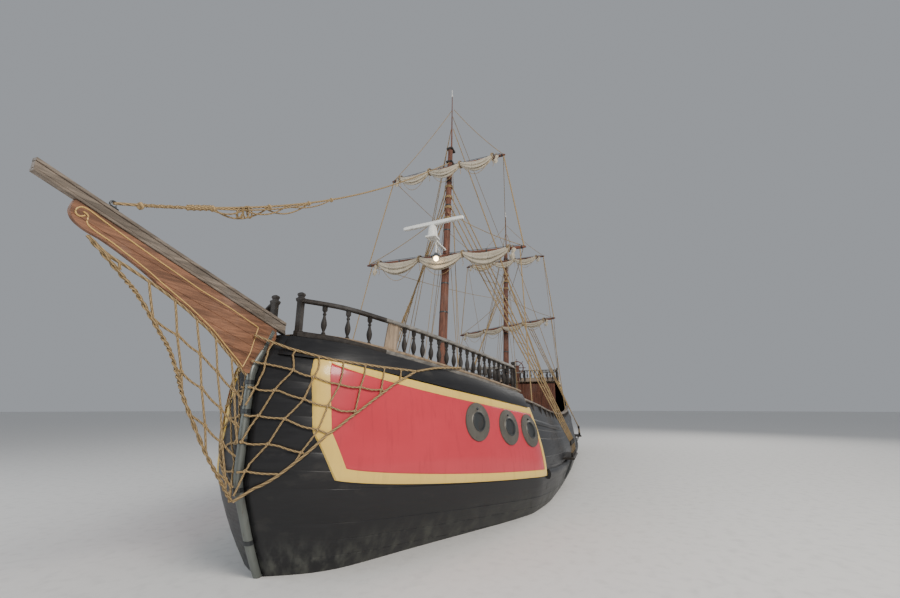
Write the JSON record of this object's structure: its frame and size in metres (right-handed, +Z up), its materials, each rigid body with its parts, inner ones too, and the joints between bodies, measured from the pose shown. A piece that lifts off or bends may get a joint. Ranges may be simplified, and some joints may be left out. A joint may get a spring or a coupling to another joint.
{
  "type": "two-masted replica galleon, full size, afloat",
  "caption": "Full-size wooden galleon replica afloat: black hull with red bow panels, turned-baluster rails, plank bowsprit on a knee, square yards with furled sails, and an aft cabin.",
  "frame": {"origin": "on the centreline at the waterline, amidships of the hull", "axes": "+X forward to the bow, +Y to port, +Z up"},
  "size_m": [30.6655, 8.6412, 18.8308],
  "materials": {
    "black_paint": "worn satin",
    "red_paint": "gloss, slightly faded",
    "cream_paint": "satin",
    "varnished_plank": "worn varnish",
    "grey_timber": "weathered",
    "dark_timber": "painted, worn",
    "deck_plank": "scrubbed",
    "stem_metal": "dull",
    "dark_iron": "painted",
    "white_paint": "gloss",
    "canvas": "matt",
    "rope": "matt",
    "bronze": "cast",
    "antifouling": "matt"
  },
  "bodies": {
    "hull": {"aft_castle": "black_paint", "bowsprit": "grey_timber", "bulwark_port": "black_paint", "bulwark_starboard": "black_paint", "cabin_bulkhead": "varnished_plank", "cap_rail_port": "grey_timber", "cap_rail_starboard": "grey_timber", "fore_shrouds_port": "rope", "fore_shrouds_starboard": "rope", "forecastle": "black_paint", "forecastle_deck": "deck_plank", "forecastle_rail": "dark_timber", "foremast": "varnished_plank", "forestay": "rope", "foretopmast": "varnished_plank", "hull": "black_paint", "keel": "antifouling", "knee": "varnished_plank", "main_deck": "deck_plank", "main_shrouds_port": "rope", "main_shrouds_starboard": "rope", "mainmast": "varnished_plank", "mainstay": "rope", "maintopmast": "varnished_plank", "mast_lamp": "dark_iron", "panel_border_port": "cream_paint", "panel_border_starboard": "cream_paint", "panel_port": "red_paint", "panel_starboard": "red_paint", "porthole_aft_port": "dark_iron", "porthole_aft_starboard": "dark_iron", "porthole_fore_port": "dark_iron", "porthole_fore_starboard": "dark_iron", "porthole_middle_port": "dark_iron", "porthole_middle_starboard": "dark_iron", "propeller_shaft": "bronze", "quarter_deck": "deck_plank", "quarter_deck_rail": "dark_timber", "radar_stand": "white_paint", "sheer_strake_port": "black_paint", "sheer_strake_starboard": "black_paint", "stem_post": "stem_metal", "wale_port": "black_paint", "wale_starboard": "black_paint", "wheel_stand": "varnished_plank"},
    "fore_course": {"fore_course_yard": "varnished_plank", "fore_course_sail": "canvas"},
    "fore_topsail": {"fore_topsail_yard": "varnished_plank", "fore_topsail_sail": "canvas"},
    "main_course": {"main_course_yard": "varnished_plank", "main_course_sail": "canvas"},
    "main_topsail": {"main_topsail_yard": "varnished_plank", "main_topsail_sail": "canvas"},
    "radar": {"radar_scanner": "white_paint"},
    "rudder": {"rudder": "antifouling"},
    "propeller": {"propeller": "bronze"},
    "wheel": {"steering_wheel": "varnished_plank"},
    "door_port": {"door_port": "varnished_plank"},
    "door_starboard": {"door_starboard": "varnished_plank"}
  },
  "joints": [
    {"name": "fore_course_brace", "type": "hinge", "parent": "hull", "child": "fore_course", "pos_m": [5.1239, 0, 8.12], "axis": [-0.1044, 0, 0.9945], "range_deg": [-28, 28]},
    {"name": "fore_topsail_brace", "type": "hinge", "parent": "hull", "child": "fore_topsail", "pos_m": [4.7039, 0, 12.12], "axis": [-0.1044, 0, 0.9945], "range_deg": [-28, 28]},
    {"name": "main_course_brace", "type": "hinge", "parent": "hull", "child": "main_course", "pos_m": [-5.9235, 0, 7.35], "axis": [-0.1483, 0, 0.9889], "range_deg": [-9, 47]},
    {"name": "main_topsail_brace", "type": "hinge", "parent": "hull", "child": "main_topsail", "pos_m": [-6.5985, 0, 11.85], "axis": [-0.1483, 0, 0.9889], "range_deg": [-9, 47]},
    {"name": "radar_spin", "type": "hinge", "parent": "hull", "child": "radar", "pos_m": [6.09, 0, 8.9], "axis": [0, 0, 1], "continuous": true},
    {"name": "rudder_turn", "type": "hinge", "parent": "hull", "child": "rudder", "pos_m": [-12.65, 0, -1], "axis": [0, 0, 1], "range_deg": [-35, 35]},
    {"name": "wheel_turn", "type": "hinge", "parent": "hull", "child": "wheel", "pos_m": [-9.75, 0, 5.2201], "axis": [1, 0, 0], "range_deg": [-350, 350]},
    {"name": "propeller_spin", "type": "hinge", "parent": "hull", "child": "propeller", "pos_m": [-12.07, 0, -1], "axis": [1, 0, 0], "continuous": true},
    {"name": "door_port_hinge", "type": "hinge", "parent": "hull", "child": "door_port", "pos_m": [-8.555, 1.66, 2.6], "axis": [0, 0, 1], "range_deg": [0, 100]},
    {"name": "door_starboard_hinge", "type": "hinge", "parent": "hull", "child": "door_starboard", "pos_m": [-8.555, -1.66, 2.6], "axis": [0, 0, 1], "range_deg": [-100, 0]}
  ],
  "couplings": [
    {"joint": "fore_topsail_brace", "follows": "fore_course_brace", "ratio": 1},
    {"joint": "main_topsail_brace", "follows": "main_course_brace", "ratio": 1},
    {"joint": "wheel_turn", "follows": "rudder_turn", "ratio": 10}
  ]
}
